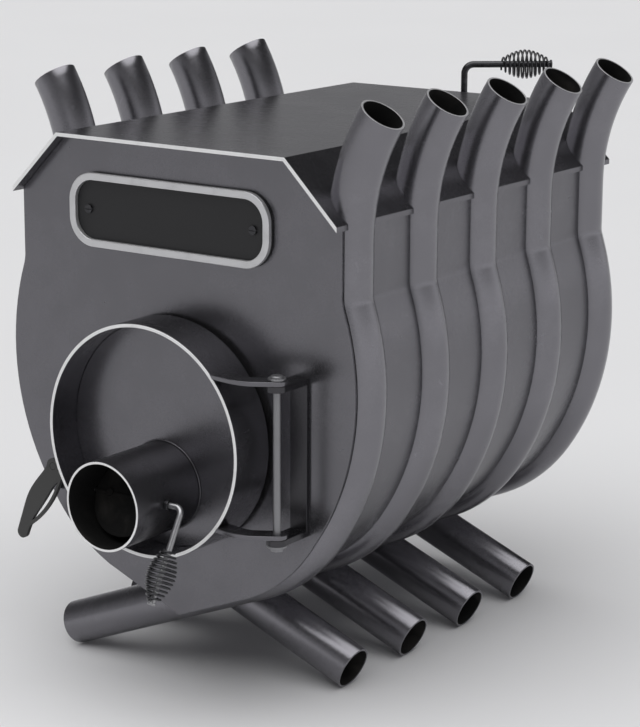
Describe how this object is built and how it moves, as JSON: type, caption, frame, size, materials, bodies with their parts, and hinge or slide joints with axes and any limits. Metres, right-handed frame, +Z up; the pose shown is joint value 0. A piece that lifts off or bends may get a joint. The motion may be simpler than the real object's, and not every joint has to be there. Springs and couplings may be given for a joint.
{
  "type": "convection wood stove",
  "caption": "Wood stove of bent air pipes and plates with an octagonal roof, a round swinging door, an air tube in the door, a flue spigot and coil-handled dampers.",
  "frame": {"origin": "on the floor, under the middle of the bounding box", "axes": "+Z up; -Y towards the door; +Y towards the flue; +X to the right as seen from the front, the side with five pipes and the hinge"},
  "size_m": [0.6444, 0.958, 0.8003],
  "materials": {
    "dark_steel": "satin heat-resistant paint, dark grey",
    "pipe_steel": "satin heat-resistant paint, dark grey",
    "inner_steel": "sooted plate",
    "black_steel": "satin black",
    "bare_steel": "bare steel",
    "pin_steel": "dark bare steel",
    "rope": "braided glass rope"
  },
  "bodies": {
    "stove": {"front_panel": "dark_steel", "rear_panel": "dark_steel", "roof_panel": "dark_steel", "pipe_right_1": "pipe_steel", "pipe_right_2": "pipe_steel", "pipe_right_3": "pipe_steel", "pipe_right_4": "pipe_steel", "pipe_right_5": "pipe_steel", "pipe_left_1": "pipe_steel", "pipe_left_2": "pipe_steel", "pipe_left_3": "pipe_steel", "pipe_left_4": "pipe_steel", "side_plate_right_1": "dark_steel", "side_plate_right_2": "dark_steel", "side_plate_right_3": "dark_steel", "side_plate_right_4": "dark_steel", "side_plate_left_1": "dark_steel", "side_plate_left_2": "dark_steel", "side_plate_left_3": "dark_steel", "side_plate_left_4": "dark_steel", "side_plate_left_5": "dark_steel", "door_collar": "dark_steel", "ash_lip": "inner_steel", "baffle_plate": "inner_steel", "baffle_rails": "inner_steel", "injector_tubes": "inner_steel", "flue_spigot": "dark_steel", "flue_damper_bushes": "bare_steel", "hinge_bracket": "dark_steel", "hinge_pin": "pin_steel", "hinge_nut": "bare_steel", "latch_keeper": "dark_steel", "nameplate": "black_steel", "nameplate_rim": "bare_steel", "nameplate_screws": "black_steel"},
    "door": {"door_ring": "dark_steel", "door_plate": "dark_steel", "door_rope": "rope", "rope_retainer": "inner_steel", "hinge_arm_upper": "dark_steel", "hinge_arm_lower": "dark_steel", "air_tube": "dark_steel", "air_tube_flange": "dark_steel", "door_shield": "inner_steel", "shield_bolts": "bare_steel", "latch_lug": "dark_steel", "air_damper_bushes": "bare_steel"},
    "latch": {"latch_shaft": "bare_steel", "latch_handle": "black_steel", "latch_finger": "black_steel"},
    "air_damper": {"air_damper_shaft": "black_steel", "air_damper_disc": "black_steel", "air_damper_screws": "bare_steel", "air_grip_coil": "black_steel"},
    "flue_damper": {"flue_damper_shaft": "black_steel", "flue_damper_disc": "black_steel", "flue_damper_screws": "bare_steel", "flue_grip_coil": "black_steel"}
  },
  "joints": [
    {"name": "door_hinge", "type": "hinge", "parent": "stove", "child": "door", "pos_m": [0.2, -0.36319, 0.348], "axis": [0, 0, 1], "range_deg": [0, 115]},
    {"name": "latch_turn", "type": "hinge", "parent": "door", "child": "latch", "pos_m": [-0.17178, -0.36319, 0.28206], "axis": [0, -1, 0], "range_deg": [-15, 35]},
    {"name": "air_damper_turn", "type": "hinge", "parent": "door", "child": "air_damper", "pos_m": [0, -0.40979, 0.28], "axis": [1, 0, 0], "range_deg": [-60, 30]},
    {"name": "flue_damper_turn", "type": "hinge", "parent": "stove", "child": "flue_damper", "pos_m": [0, 0.39031, 0.63703], "axis": [0, 0, 1], "range_deg": [-39, 51]}
  ]
}
